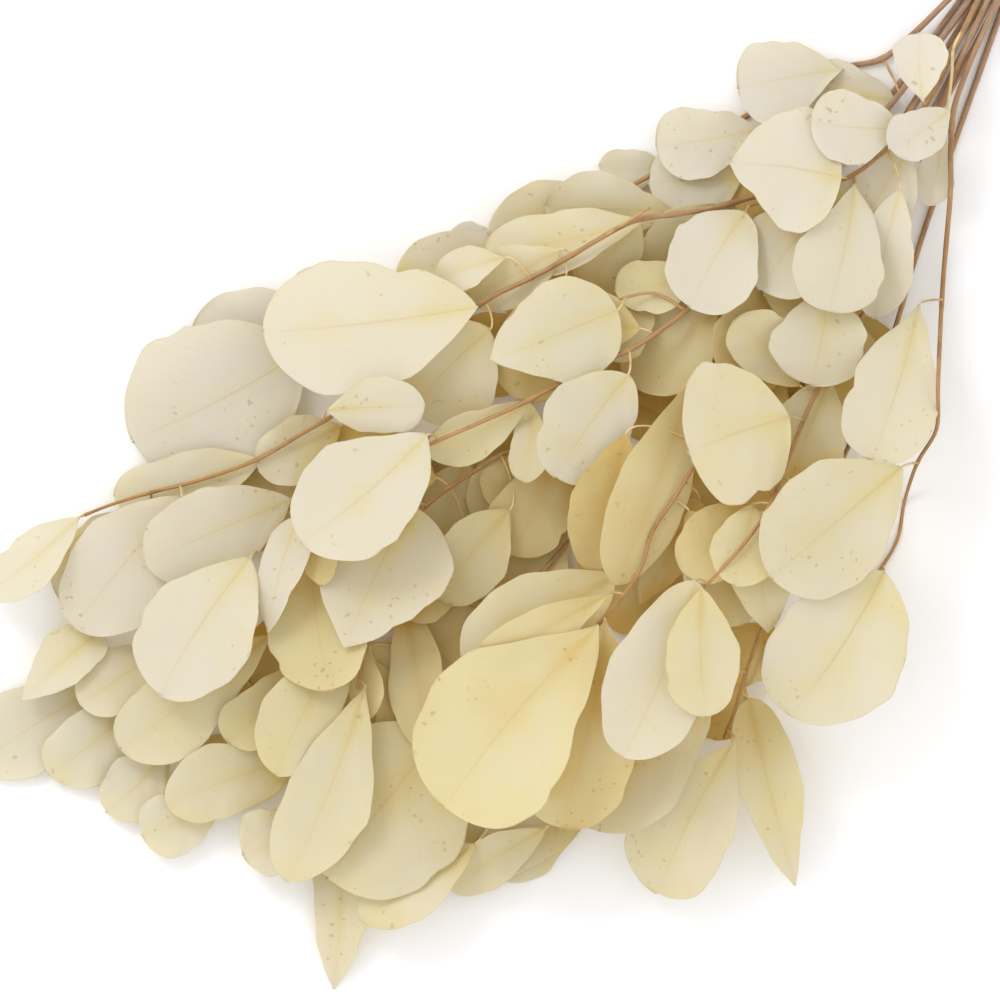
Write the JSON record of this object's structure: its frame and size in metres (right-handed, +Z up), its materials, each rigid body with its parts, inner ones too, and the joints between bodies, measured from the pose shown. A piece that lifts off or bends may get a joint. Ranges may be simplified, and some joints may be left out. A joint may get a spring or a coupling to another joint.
{
  "type": "eucalyptus bunch",
  "caption": "Dried broad-leaved eucalyptus bunch lying on its side: pale rounded leaves fanned out from bare stems that a band holds together.",
  "frame": {"origin": "centre of the base of the bunch's box, on the floor plane it lies on", "axes": "+Z up from the floor, +Y away from the viewer of the picture, +X to the viewer's right; the bare stems point to +X +Y and the leaves fan out towards -X -Y"},
  "size_m": [0.4924, 0.508, 0.0872],
  "materials": {
    "leaves_and_stems": "matt dried leaf, cream, on brown stems",
    "band": "matt tan elastic"
  },
  "bodies": {
    "root": {"branch_far_left": "leaves_and_stems", "branch_bottom": "leaves_and_stems", "branch_lower_right": "leaves_and_stems", "branch_lower_left": "leaves_and_stems", "branch_upper_left": "leaves_and_stems", "branch_left": "leaves_and_stems", "branch_middle": "leaves_and_stems", "branch_centre": "leaves_and_stems", "branch_centre_right": "leaves_and_stems", "branch_right": "leaves_and_stems", "branch_front": "leaves_and_stems", "band": "band"}
  },
  "joints": []
}
